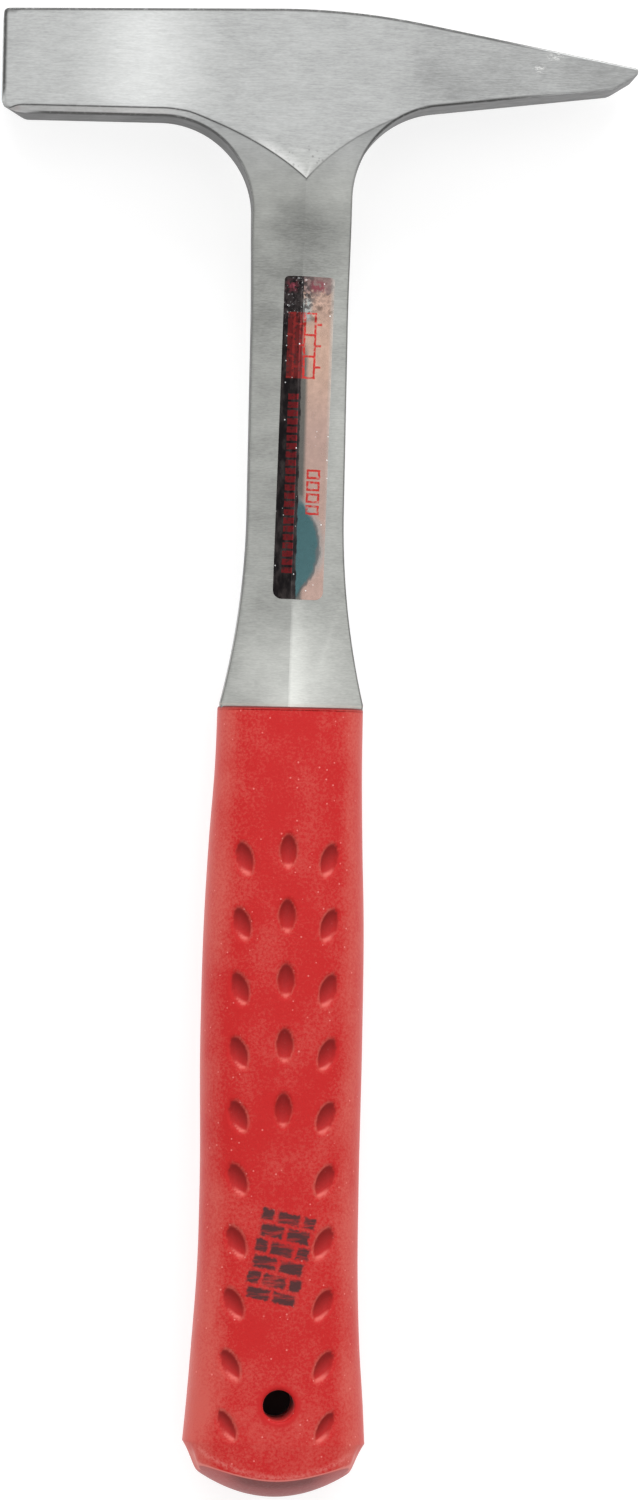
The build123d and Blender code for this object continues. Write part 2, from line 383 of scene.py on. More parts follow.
class Forging:
    """Height of the forging's front over the middle plane."""

    def __init__(self):
        under_poll = dense_start(POLL_X, TOE[0], LEFT_CENTRE[0], 200)
        under_peen = dense_start(TIP_X, -2, RIGHT_TANGENT_X, 300)
        right_turns = (pi / 2 + UNDER_ANGLE, pi)
        self.left = lower_outline(under_poll, poll_under, LEFT_CENTRE, (pi / 2, 0), -1)
        self.right = lower_outline(under_peen, peen_under, RIGHT_CENTRE, right_turns, 1)
        last = TIP_X - np.linspace(1, 0, 40)[1:] ** 2
        top_x = np.concatenate([dense_start(POLL_X, 2, TIP_X - 1, 1500), last])
        top = np.stack([top_x, head_top(top_x)], -1)
        poll = np.linspace(self.left[0], top[0], 200)
        tip = np.linspace(self.right[0], top[-1], 20)
        rim = np.vstack([self.left, self.right, top, poll, tip])
        self.tree = kdtree.KDTree(len(rim))
        for i, (x, y) in enumerate(rim):
            self.tree.insert((x, y, 0), i)
        self.tree.balance()

    def rim_distance(self, points):
        flat = points.reshape(-1, 2)
        found = [self.tree.find((x, y, 0))[2] for x, y in flat]
        return np.array(found).reshape(points.shape[:-1])

    def height(self, points, rounded=True):
        x, y = points[..., 0], points[..., 1]
        chamfer = HEAD_HALF - CHAMFER + above_poll_corner(x, y)
        chamfer = np.where(x < 0, chamfer, 4 * HEAD_HALF)
        z = smooth_min([HEAD_HALF, facets(x, y), chamfer], CREASE_SOFTNESS)
        sway = [noise.noise((px / 17, py / 11, 4.2)) for px, py in points.reshape(-1, 2)]
        z = z + SWAY * np.array(sway).reshape(x.shape)
        if rounded:
            near_face = ease(2.5, 0.0, x - POLL_X)
            radius = EDGE_ROUND + (FACE_EDGE_ROUND - EDGE_ROUND) * near_face
            z = z - round_off(self.rim_distance(points), radius)
        return z

    def lift(self, points):
        return np.dstack([points, self.height(points)])


def flat_side(columns):
    """Planform of the head's flat side: a column from the crease to the top at each position."""
    low, high = crease(columns), head_top(columns)
    span = high - low
    near_top = np.array([0, 0.05, 0.13, 0.25, 0.4, 0.65])
    near_low = np.array([0, 0.1, 0.3])
    top = np.minimum(near_top / span[:, None], np.linspace(0, 0.3, len(near_top)))
    bottom = np.minimum(near_low / span[:, None], np.linspace(0, 0.15, len(near_low)))
    between = np.linspace(0, 1, 26)[1:-1]
    middle = bottom[:, -1:] + (1 - top[:, -1:] - bottom[:, -1:]) * between
    share = np.hstack([bottom, middle, 1 - top[:, ::-1]])
    y = low[:, None] + span[:, None] * share
    x = np.broadcast_to(columns[:, None], y.shape)
    return np.dstack([x, y])


def strip(border, outline, matches):
    """Planform between the outline and the crease or ridge, station by station.

    matches pairs positions on the border with positions on the outline.
    """
    border_way, outline_way = along(border), along(outline)
    knots = [border_way[np.argmin(np.linalg.norm(border - a, axis=1))] for a, _ in matches]
    places = [outline_way[np.argmin(np.linalg.norm(outline - b, axis=1))] for _, b in matches]
    way = np.interp(border_way, knots, places)
    for _ in range(6):
        way[1:-1] = (way[:-2] + 2 * way[1:-1] + way[2:]) / 4
    edge = np.stack([np.interp(way, outline_way, outline[:, k]) for k in (0, 1)], -1)
    width = np.linalg.norm(border - edge, axis=1)
    rows = 18
    first = np.minimum(0.05, width / rows)
    power = np.log(first / width) / log(1 / rows)
    share = np.linspace(0, 1, rows + 1)[None, :] ** power[:, None]
    extra = [1 - np.minimum(gap / width, 0.04 * k) for k, gap in ((3, 0.5), (2, 0.25), (1, 0.12))]
    share = np.sort(np.hstack([share, np.stack(extra, -1)]), axis=1)
    return edge[:, None, :] + (border - edge)[:, None, :] * share[..., None]


def steel_forging():
    """Flat side, two strips below it, their mirror image, and the walls round the outline."""
    form = Forging()
    columns = head_columns()
    middle = int(np.argmin(np.abs(columns - VERTEX_X)))
    creases = np.stack([columns, crease(columns)], -1)
    vertex_y = creases[middle, 1]
    down = np.linspace(0, 1, 116)[1:]
    ridge_y = vertex_y + (SHANK_END_Y - vertex_y) * down ** 1.08
    ridge = np.stack([ridge_x(ridge_y), ridge_y], -1)
    left_border = np.vstack([creases[: middle + 1], ridge])
    right_border = np.vstack([creases[middle:][::-1], ridge])

    def spot(x):
        return x, crease(x)

    corner_x = -20.4
    corner_y = LEFT_CENTRE[1] + sqrt(FILLET ** 2 - (corner_x - LEFT_CENTRE[0]) ** 2)
    left_matches = (
        (left_border[0], form.left[0]),
        (spot(LEFT_CENTRE[0]), (LEFT_CENTRE[0], UNDERSIDE_Y)),
        (spot(-20.0), (corner_x, corner_y)),
        (creases[middle], (-NECK_HALF, LEFT_CENTRE[1] + 3)),
        (left_border[-1], form.left[-1]),
    )
    right_matches = (
        (right_border[0], form.right[0]),
        (spot(RIGHT_TANGENT_X), (RIGHT_TANGENT_X, peen_under_line(RIGHT_TANGENT_X))),
        (spot(19.0), (19.0, peen_under(19.0))),
        (creases[middle], (NECK_HALF, RIGHT_CENTRE[1] + 1)),
        (right_border[-1], form.right[-1]),
    )
    side = form.lift(flat_side(columns))
    left = form.lift(strip(left_border, form.left, left_matches))
    right = form.lift(strip(right_border, form.right, right_matches))

    shell = Shell()
    mirror = np.array([1, 1, -1])
    for sheet in (side, left, right):
        shell.grid(sheet)
        shell.grid(sheet * mirror)
    outlines = (
        side[:, -1],
        np.vstack([left[0], side[0][1:]]),
        np.vstack([right[0], side[-1][1:]]),
        left[:, 0],
        right[:, 0],
        np.vstack([left[-1], right[-1][::-1][1:]]),
    )
    levels = np.array([[[1, 1, level]] for level in np.linspace(1, -1, 11)])
    for outline in outlines:
        shell.grid(outline * levels)
    add_tang(shell)
    piece = shell.build("hammer_forging")
    paint(piece, "edge_shade_and_grime", lambda x, y, z: edge_shade_and_grime(form, x, y, z))
    paint(piece, "rim_wear_and_highlight", rim_wear_and_highlight)
    slant_toe(piece)
    return piece


def over_crease(x, y):
    """Distance over the lower border of the head's flat side."""
    slope = (crease(x + 0.01) - crease(x - 0.01)) / 0.02
    return (y - crease(x)) / np.sqrt(1 + slope ** 2)


def edge_shade_and_grime(form, x, y, z):
    """Where the steel is painted dark: 1 along the sharp lines round the flat side, for dirt in those
    creases, and on the outer edges, as painted shade on their rounding; 0 a little away from them.
    """
    present = ease(POLL_X + 1.0, POLL_X + 4.0, x) * ease(20.0, 16.0, x)
    present *= (np.abs(z) > 8) * (1 - 0.45 * ease(0.0, 2.0, x))
    line = np.exp(-(over_crease(x, y) / 0.16) ** 2) * present
    points = np.stack([x, y], -1)
    at_face = ease(POLL_X + 4.0, POLL_X + 2.0, x)
    on_shank = ease(262.0, 252.0, y)
    width = 0.62 + 0.28 * at_face - 0.2 * on_shank
    outer = ease(1.0, 0.5, form.rim_distance(points) / width) * (1 - 0.4 * on_shank)
    outer *= ease(0.7, 0.3, form.height(points, False) - np.abs(z)) * ease(56.0, 38.0, x)
    at_toe = ease(POLL_X + 9.0, POLL_X + 6.0, x)
    at_toe *= ease(UNDERSIDE_Y + 5.0, UNDERSIDE_Y + 4.0, y)
    return np.maximum(line, outer * (1 - at_toe))


def rim_wear_and_highlight(x, y, _):
    """1 on the bright rim above the left arm of the V, worn and with a painted highlight."""
    above = over_crease(x, y)
    rim = ease(0.12, 0.3, above) * ease(1.7, 0.4, above)
    return rim * ease(-12.0, -6.0, x) * ease(2.5, -0.5, x)


def add_tang(shell):
    """Flat tang inside the grip, as a closed loop of its own that starts inside the shank."""
    half, thick, end_y = TANG
    turn = np.linspace(0, pi, 25)
    around = np.stack([half * np.cos(turn), end_y + half - half * np.sin(turn)], -1)
    line = np.vstack([[half, GRIP_TOP_Y + 2], around, [-half, GRIP_TOP_Y + 2]])
    levels = [np.column_stack([line, np.full(len(line), z)]) for z in (-thick, thick)]
    shell.grid(np.stack(levels), closed=True)
    for level in levels:
        shell.grid(np.stack([level, level[::-1]])[:, : (len(line) + 1) // 2])


# -------- vinyl grip
def grip_sizes(y):
    """Middle, half width and half thickness of the grip's section at a height."""
    heights, *columns = np.array(GRIP_STATIONS)[::-1].T
    left, right, thick = (hermite(y, heights, column) for column in columns)
    return (right - left) / 2, (left + right) / 2, thick


def grip_section(turn, y):
    """Points of the grip's section at angles turn and heights y."""
    middle, half, thick = grip_sizes(y)
    power = 2 / SECTION_POWER
    x = middle + half * np.sign(np.cos(turn)) * np.abs(np.cos(turn)) ** power
    z = thick * np.sign(np.sin(turn)) * np.abs(np.sin(turn)) ** power
    return x, z


def grip_front(x, y):
    """Height of the grip's front over the middle plane."""
    middle, half, thick = grip_sizes(y)
    share = np.clip(np.abs(x - middle) / half, 0, 1)
    return thick * (1 - share ** SECTION_POWER) ** (1 / SECTION_POWER)


def even_turns(count):
    """Angles that space points evenly round the section, with one at each quarter."""
    dense = np.linspace(0, pi / 2, 4000)
    x, z = grip_section(dense, np.full_like(dense, 60.0))
    way = along(np.stack([x, z], -1))
    quarter = np.interp(np.linspace(0, way[-1], count // 4 + 1), way, dense)[:-1]
    back = np.append(quarter, pi / 2)[::-1][:-1]
    return np.concatenate([quarter, pi - back, pi + quarter, 2 * pi - back])


def dimple_places():
    """Centre and lean of each dimple on one face."""
    start, pitch, count = MIDDLE_ROWS
    places = [(MIDDLE_X, start - pitch * row, 0.0) for row in range(count)]
    start, pitch, count = SIDE_ROWS
    for row in range(count):
        y = start - pitch * row + SIDE_CLOSING * row ** 2
        middle, half, _ = grip_sizes(y)
        lean = radians(LEANS[0] + (LEANS[1] - LEANS[0]) * row / (count - 1))
        for side in (-1, 1):
            places.append((middle + side * half * SIDE_SHARE, y, -side * lean))
    return places


def dimple_depth(x, y):
    """Depth of the dimples at points of one face."""
    length, width, depth = DIMPLE
    total = np.zeros_like(x)
    for centre_x, centre_y, lean in dimple_places():
        dx, dy = x - centre_x, y - centre_y
        narrow = 1 - 0.2 * ease(12, 2, centre_y)
        across = dx * cos(lean) + dy * sin(lean)
        down = -dx * sin(lean) + dy * cos(lean)
        taper = 1 - (2 * down / length) ** 2
        inside = taper > 0.01
        room = np.where(inside, taper, 1.0)
        share = (2 * across / (width * narrow * room ** 0.62)) ** 2
        bowl = np.clip(1 - share, 0, 1) ** 0.5 * room ** 0.5
        total = np.maximum(total, np.where(inside, depth * bowl, 0))
    return total


def dimpled(x, y, z):
    """Pushes points of the grip in along its section's normal where there are dimples."""
    middle, half, thick = grip_sizes(y)
    share = np.clip(np.abs(x - middle) / half, 0, 1)
    side_pull = np.sign(x - middle) * share ** (SECTION_POWER - 1) / half
    up_pull = np.sign(z) * np.clip(np.abs(z) / thick, 0, 1) ** (SECTION_POWER - 1) / thick
    length = np.hypot(side_pull, up_pull) + 1e-9
    depth = dimple_depth(x, y)
    return x - depth * side_pull / length, z - depth * up_pull / length


def vinyl_grip():
    """Sides, domed butt, top rim and a round hole that runs through."""
    turns = even_turns(208)
    shell = Shell()
    sides = np.arange(int(GRIP_TOP_Y) - 0.5, RIM_Y - 0.01, -0.5)
    rows = np.concatenate([[GRIP_TOP_Y - 0.5, GRIP_TOP_Y - 0.8], sides])
    turn_grid, y_grid = np.meshgrid(turns, rows)
    x, z = grip_section(turn_grid, y_grid)
    x, z = dimpled(x, y_grid, z)
    body = np.dstack([x, y_grid, z])

    # the block of the grid that the hole replaces, on the front and on the back
    low, high = (int(np.argmin(np.abs(rows - edge))) for edge in (HOLE_BLOCK, -HOLE_BLOCK))
    inside = np.abs(body[low, :, 0]) < HOLE_BLOCK
    first, last = np.flatnonzero(inside & (turns < pi))[[0, -1]]
    first_back, last_back = np.flatnonzero(inside & (turns > pi))[[0, -1]]
    wrapped = np.concatenate([body, body[:, :1]], axis=1)
    band = wrapped[low: high + 1]
    for part in (
        wrapped[: low + 1],
        wrapped[high:],
        band[:, : first + 1],
        band[:, last: first_back + 1],
        band[:, last_back:],
    ):
        shell.grid(part)
    front_rim = hole_surround(shell, band[:, first: last + 1], 1)
    back_rim = hole_surround(shell, band[:, first_back: last_back + 1], -1)
    share = np.linspace(0, 1, 14)[:, None, None]
    shell.grid(front_rim * (1 - share) + back_rim * share, closed=True)

    butt(shell, turns)
    top_rim(shell, turns, rows[0])
    piece = shell.build("hammer_grip", sharp_angle=60)
    paint(piece, "dimple", lambda x, y, z: dimple_depth(x, y) / DIMPLE[2])
    return piece


def hole_surround(shell, patch, side):
    """Rings from a block of the grid to the hole's rounded rim. Returns the last ring, in angle order."""
    loop = np.vstack([patch[0, :-1], patch[:-1, -1], patch[-1, :0:-1], patch[:0:-1, 0]])
    angle = np.unwrap(np.arctan2(loop[:, 1], loop[:, 0]))
    even = angle[0] + np.arange(len(loop)) * np.sign(angle[-1] - angle[0]) * 2 * pi / len(loop)
    circle = np.column_stack([np.cos(even), np.sin(even)])
    goal = (HOLE_RADIUS + HOLE_RIM) * circle
    rings = []
    for share in np.linspace(0, 1, 7):
        xy = loop[:, :2] * (1 - share) + goal * share
        z = loop[:, 2] if share == 0 else side * grip_front(*xy.T)
        rings.append(np.column_stack([xy, z]))
    base = grip_front(*goal.T)
    for bend in np.linspace(0, pi / 2, 7)[1:]:
        radius = HOLE_RADIUS + HOLE_RIM * (1 - sin(bend))
        z = side * (base - HOLE_RIM * (1 - cos(bend)))
        rings.append(np.column_stack([radius * circle, z]))
    shell.grid(np.array(rings), closed=True)
    return rings[-1][np.argsort(np.arctan2(rings[-1][:, 1], rings[-1][:, 0]))]


def butt_dome(x, z):
    return BUTT_Y + x ** 2 / (2 * BUTT_RADII[0]) + z ** 2 / (2 * BUTT_RADII[1])


def butt(shell, turns):
    """Domed end with a rounded edge, softer at the sides than at the front."""
    x, z = grip_section(turns, np.full_like(turns, RIM_Y))
    middle = (x.max() + x.min()) / 2
    steepness = SIDE_CUT + (FRONT_CUT - SIDE_CUT) * ease(0.5, 0.9, np.abs(z) / z.max())
    bend = np.linspace(0, 1, 34)
    shares = np.concatenate([1 - 0.35 * bend ** 2.0, np.linspace(0.65, 0, 26)[1:]])
    rings = []
    for share in shares:
        ring_x, ring_z = middle + (x - middle) * share, z * share
        level = smooth_min([1.0, steepness * (1 - share)], BUTT_SOFTNESS)
        y = RIM_Y + (butt_dome(ring_x - middle, ring_z) - RIM_Y) * level
        rings.append(np.column_stack([ring_x, y, ring_z]))
    shell.grid(np.array(rings), closed=True)


def top_rim(shell, turns, start_y):
    """Rounded upper edge that turns in to the steel, and a cap inside the shank."""
    x, z = grip_section(turns, np.full_like(turns, start_y))
    radius = GRIP_TOP_Y - start_y
    reach = np.hypot(x, z)
    rings = []
    for bend in np.linspace(0, pi / 2, 6):
        scale = 1 - radius * (1 - cos(bend)) / reach
        y = np.full_like(x, start_y + radius * sin(bend))
        rings.append(np.column_stack([x * scale, y, z * scale]))
    rings += [rings[-1] * (share, 1, share) for share in (0.9, 0.7, 0.4, 0.0)]
    shell.grid(np.array(rings), closed=True)


# -------- foil label
def foil_label():
    """Thin sheet with round corners, folded over the ridge, with a few faint blisters."""
    half_w, half_l = LABEL_SIZE[0] / 2, LABEL_SIZE[1] / 2
    across = np.linspace(-1, 1, 45)
    end = 0.06 * np.linspace(0, 1, 14) ** 1.5
    down = np.concatenate([-1 + end, np.linspace(-0.94, 0.94, 200)[1:-1], 1 - end[::-1]])
    v = down * half_l
    corner = np.where(v < 0, *LABEL_CORNERS)
    past = np.clip(np.abs(v) - half_l + corner, 0, corner)
    inset = corner - np.sqrt(corner ** 2 - past ** 2)
    u = across[None, :] * (half_w - inset)[:, None]
    v = np.broadcast_to(v[:, None], u.shape)
    x = LABEL_CENTRE[0] + u * cos(LABEL_LEAN) + v * sin(LABEL_LEAN)
    y = LABEL_CENTRE[1] - u * sin(LABEL_LEAN) + v * cos(LABEL_LEAN)
    lumps = np.array([noise.noise((px / 1.6, py / 1.6, 9.1)) for px, py in zip(x.ravel(), y.ravel())])
    blister = np.clip(lumps.reshape(x.shape) - 0.25, 0, None) * np.where(y > 221.5, 0.35, 0.0)
    edge = np.minimum(1 - np.abs(across)[None, :], 1 - np.abs(down)[:, None])
    blister = blister * ease(0.0, 0.06, edge)
    base = facets(x, y)
    top = np.dstack([x, y, base + FOIL + blister])
    low = np.dstack([x, y, base - 0.05])
    shell = Shell()
    shell.grid(top)
    shell.grid(low[:, ::-1])
    for cut in (np.s_[0], np.s_[-1], np.s_[:, 0], np.s_[:, -1]):
        shell.grid(np.stack([top[cut], low[cut]]))
    return shell.build("hammer_label", sharp_angle=40, weld=0.0005)


# -------- procedural materials
class Nodes:
    """Short calls that add a node, link what is a socket and set what is a number."""

    def __init__(self, owner):
        owner.use_nodes = True
        self.tree = owner.node_tree
        self.tree.nodes.clear()

    def node(self, kind, *values, **settings):
        """Adds a node with its settings, and gives its first sockets the values."""
        node = self.tree.nodes.new(kind)
        for key, value in settings.items():
            setattr(node, key, value)
        for socket, value in zip(node.inputs, values):
            self.put(socket, value)
        return node

    def put(self, socket, value):
        if isinstance(value, bpy.types.NodeSocket):
            self.tree.links.new(value, socket)
        elif socket.type == "RGBA":
            socket.default_value = (*value, 1)
        else:
            socket.default_value = value

    def fill(self, node, **sockets):
        """Gives sockets their values by name, with _ for a space."""
        for name, value in sockets.items():
            self.put(node.inputs[name.replace("_", " ")], value)
        return node

    def math(self, operation, *values):
        """Arithmetic on numbers, or on vectors where the second value is a tuple."""
        vectors = len(values) > 1 and isinstance(values[1], tuple)
        kind = "ShaderNodeVectorMath" if vectors else "ShaderNodeMath"
        return self.node(kind, *values, operation=operation).outputs[0]

    def plus(self, *values):
        return reduce(lambda a, b: self.math("ADD", a, b), values)

    def times(self, *values):
        return reduce(lambda a, b: self.math("MULTIPLY", a, b), values)


class Look(Nodes):
    """A node material that knows each point's place, in millimetres, and its normal."""

    def __init__(self, name):
        self.material = bpy.data.materials.new(name)
        super().__init__(self.material)
        self.shader = self.node("ShaderNodeBsdfPrincipled")
        self.node("ShaderNodeOutputMaterial", self.shader.outputs[0])
        coords = self.node("ShaderNodeTexCoord")
        self.place = self.math("MULTIPLY", coords.outputs["Object"], (1 / MM,) * 3)
        self.x, self.y, self.z = self.split(self.place)
        self.normal = self.split(coords.outputs["Normal"])
        self.upright = self.math("ABSOLUTE", self.normal[2])
        self.from_hole = self.plus(self.times(self.x, self.x), self.times(self.y, self.y))

    def split(self, vector):
        return self.node("ShaderNodeSeparateXYZ", vector).outputs

    def join(self, red, green, blue):
        return self.node("ShaderNodeCombineColor", red, green, blue).outputs[0]

    def ramp(self, value, low, high, out_low=0.0, out_high=1.0, kind="SMOOTHSTEP"):
        """Maps low..high to out_low..out_high and holds the ends."""
        values = (value, low, high, out_low, out_high)
        return self.node("ShaderNodeMapRange", *values, interpolation_type=kind).outputs[0]

    def swing(self, noise_value, amount):
        """A noise as a change from -amount to amount."""
        return self.ramp(noise_value, 0.3, 0.7, -amount, amount)

    def near(self, value, centre, half, soft):
        """1 within half of the centre, falling to 0 over the soft edge."""
        away = self.math("ABSOLUTE", self.math("SUBTRACT", value, centre))
        return self.ramp(away, half - soft, half + soft, 1.0, 0.0)

    def patch(self, x, half_x, soft_x, y, half_y, soft_y):
        """1 inside a soft-edged rectangle of the hammer's own plane."""
        return self.times(self.near(self.x, x, half_x, soft_x), self.near(self.y, y, half_y, soft_y))

    def stretched(self, sizes, shift=(0, 0, 0)):
        """Coordinates whose unit is sizes, in millimetres: one size, or one for each axis."""
        moved = self.math("ADD", self.place, shift)
        return self.math("DIVIDE", moved, sizes if isinstance(sizes, tuple) else (sizes,) * 3)

    def grain(self, sizes, detail=2.0, rough=0.5, shift=(0, 0, 0), warp=0.0, output=0):
        """Noise from 0 to 1 with features of about the given sizes."""
        node = self.fill(self.node("ShaderNodeTexNoise"), Vector=self.stretched(sizes, shift), Scale=1.0,
                         Detail=detail, Roughness=rough, Distortion=warp)
        return node.outputs[output]

    def flecks(self, size, share, spread=0.25):
        """Sparse dots: 1 in a share of the cells, within spread of the cell's point."""
        node = self.fill(self.node("ShaderNodeTexVoronoi"), Vector=self.stretched(size), Scale=1.0)
        dot = self.ramp(node.outputs["Distance"], spread * 0.5, spread, 1.0, 0.0)
        pick = self.ramp(self.split(node.outputs["Color"])[0], 1 - share, 1 - share + 0.02)
        return self.times(dot, pick)

    def mix(self, share, a, b):
        node = self.node("ShaderNodeMix", share, data_type="RGBA")
        self.put(node.inputs[6], a)
        self.put(node.inputs[7], b)
        return node.outputs[2]

    def cover(self, share, tint):
        """Lays a tint over the look's colour."""
        self.colour = self.mix(share, self.colour, tint)

    def attribute(self, name):
        return self.node("ShaderNodeAttribute", attribute_name=name).outputs["Fac"]

    def bump(self, height, strength, distance):
        settings = {"Strength": strength, "Distance": distance * MM, "Height": height}
        node = self.fill(self.node("ShaderNodeBump"), **settings)
        self.fill(self.shader, Normal=node.outputs[0])

    def finish(self, **sockets):
        self.fill(self.shader, Base_Color=self.colour, **sockets)
        return self.material


def grey(level):
    return (level, level, level * 0.985)


# painted highlights and painted shade on the steel, as soft lighter and darker patches: centre, half width
# and softness along X, the same along Y, amount
LIGHT_AND_SHADE_PATCHES = (
    (-33, 9, 9, 275, 14, 8, 0.17),
    (80, 45, 40, 275, 16, 8, -0.09),
    (-70, 8, 8, 275, 14, 8, -0.03),
    (0.5, 4.5, 6, 238, 11, 8, -0.1),
    (7.5, 2, 3, 237, 5, 5, -0.05),
    (29, 9, 6, 270.5, 2.5, 3.5, -0.06),
    (26, 3, 6, 277, 6, 4, -0.04),
    (51, 2, 4, 275, 6, 4, 0.03),
    (62, 3, 3, 275, 8, 5, -0.03),
    (-3.5, 2, 3, 247, 3, 3, -0.04),
    (-7.5, 2, 2.5, 242, 5, 5, 0.06),
    (8, 2, 2.5, 242, 5, 5, 0.04),
    (8.5, 2, 2, 197, 14, 10, 0.06),
    (-9, 4, 4, 225, 9, 6, -0.075),
    (-0.5, 7, 10, 143, 14, 9, 0.27),
)
# bright scuffs on top of the peen: centre along X and Y, and half width
SCUFFS = ((47.8, 275.1, 1.1), (51.2, 277.7, 1.6))


def steel_look():
    """Ground steel: grain along the head, painted highlights and painted shade, duller walls from the forge
    darkened further with painted shade, dirt in the creases, painted shade on the outer edges, a few scuffs.
    """
    look = Look("ground_steel_look")
    ramp, near, plus, times = look.ramp, look.near, look.plus, look.times
    grain, mix, cover = look.grain, look.mix, look.cover
    x, y, upright = look.x, look.y, look.upright
    streaks = grain((3.4, 0.27, 0.8), detail=3, rough=0.6)
    fine = grain((0.9, 0.18, 0.4), shift=(31, 7, 3))
    cloud = grain((8, 5, 6), detail=4, rough=0.6, shift=(5, 50, 11))
    flat = ramp(upright, 0.97, 0.995)

    # ground faces
    tone = plus(look.swing(streaks, 0.028), 0.385, look.swing(fine, 0.026), look.swing(cloud, 0.035))
    # painted highlights and painted shade, patch by patch
    for *place, amount in LIGHT_AND_SHADE_PATCHES:
        tone = plus(tone, times(look.patch(*place), amount))
    # painted highlights: a bright band right of the ridge down the flare and a patch on the flat at the V's
    # tip; and painted light on the tilted faces of the neck and on the chamfer under the poll
    ridge = look.math("MULTIPLY_ADD", y, RIDGE_X[1], RIDGE_X[0] - RIDGE_X[1] * GRIP_TOP_Y)
    beside = look.math("SUBTRACT", x, ridge)
    ridge_highlight = times(ramp(beside, 0.0, 0.6), ramp(beside, 5.0, 0.6), ramp(y, 166.5, 162))
    slant = look.math("MULTIPLY_ADD", y, -0.3, x)
    polished = times(near(slant, -39.9, 0.5, 0.8), near(y, 155, 6, 4))
    ragged = plus(y, look.swing(grain((1.5, 0.7, 1.0), detail=3), 0.9))
    tip_highlight = times(ramp(ragged, 257.6, 256.6), flat, ramp(y, 249, 250))
    tilted_face_light = times(ramp(upright, 0.99, 0.97), ramp(y, 241, 249))
    for mask, lift in ((ridge_highlight, 0.1), (polished, 0.035), (tip_highlight, 0.03),
                       (tilted_face_light, ramp(y, 258, 263.5, 0.21, 0.1))):
        tone = plus(tone, times(mask, lift))
    tints = (0.99, 1.005, ramp(y, 246, 262, 0.955, 0.995))
    ground = look.join(*(times(tone, tint) for tint in tints))

    # walls of the forging: rough from the forge and darkened with painted shade, darkest towards the poll,
    # and lighter down the flare
    pits = grain(0.8, detail=3, rough=0.7)
    scale = grain(2.6, detail=4, rough=0.55, shift=(9, 2, 14))
    dark = times(ramp(x, -25, 5, 0.088, 0.142), ramp(scale, 0.3, 0.7, 0.84, 1.16))
    dark = times(dark, ramp(pits, 0.35, 0.65, 0.93, 1.07))
    forged_and_shaded = mix(times(ramp(y, 172, 160), 0.7), look.join(dark, dark, dark), grey(0.42))

    # the striking face is ground too
    striking = times(ramp(look.normal[0], -0.8, -0.95), ramp(x, POLL_X + 2.5, POLL_X + 1.5))
    face = look.math("MAXIMUM", ramp(upright, 0.35, 0.62), striking)
    look.colour = mix(face, forged_and_shaded, ground)

    # wear and dirt, with painted shade along the outer edges and a painted highlight on the rim above the V
    edge_shade_and_grime = times(look.attribute("edge_shade_and_grime"), ramp(pits, 0.25, 0.5, 0.7, 1.0))
    cover(edge_shade_and_grime, grey(0.09))
    scratch = grain((1.6, 0.5, 1.0), detail=4, rough=0.75, shift=(3, 9, 1), warp=1.5)
    scratch = times(ramp(scratch, 0.5, 0.58), ramp(upright, 0.9, 0.98))
    for scuff_x, scuff_y, wide in SCUFFS:
        spot = look.patch(scuff_x, wide, 0.8, scuff_y, 0.7, 0.6)
        cover(times(spot, scratch), grey(0.62))
    # a painted highlight, with wear, on the rim above the left arm of the V
    rim = times(look.attribute("rim_wear_and_highlight"), flat, ramp(pits, 0.3, 0.5, 0.4, 1.0))
    cover(rim, grey(0.66))
    dents = times(look.flecks(1.0, 0.5, 0.3), look.patch(0, 5, 3, 256, 2, 1.5), 0.7)
    cover(dents, grey(0.2))
    lip = times(near(y, GRIP_TOP_Y + 0.4, 0.15, 0.15), 0.35)
    cover(lip, (0.62, 0.52, 0.43))

    rough = plus(ramp(cloud, 0.3, 0.7, 0.34, 0.42), ramp(face, 0, 1, 0.14, 0.0))
    look.bump(plus(streaks, times(fine, 0.5)), 0.35, 0.02)
    return look.finish(Metallic=1.0, Roughness=rough, Anisotropic=0.0)


# cleaner spots of the vinyl: centre, half width and softness along X, the same along Y
CLEAN_SPOTS = (
    (-0.5, 5, 3, 139.5, 2, 2.5),
    (-1, 3, 3, 120.5, 4, 2.5),
    (-7, 3, 3, 13, 4, 2.5),
    (0, 5, 3, 58, 6, 2.5),
    (-13, 3.5, 3, 67, 22, 2.5),
)


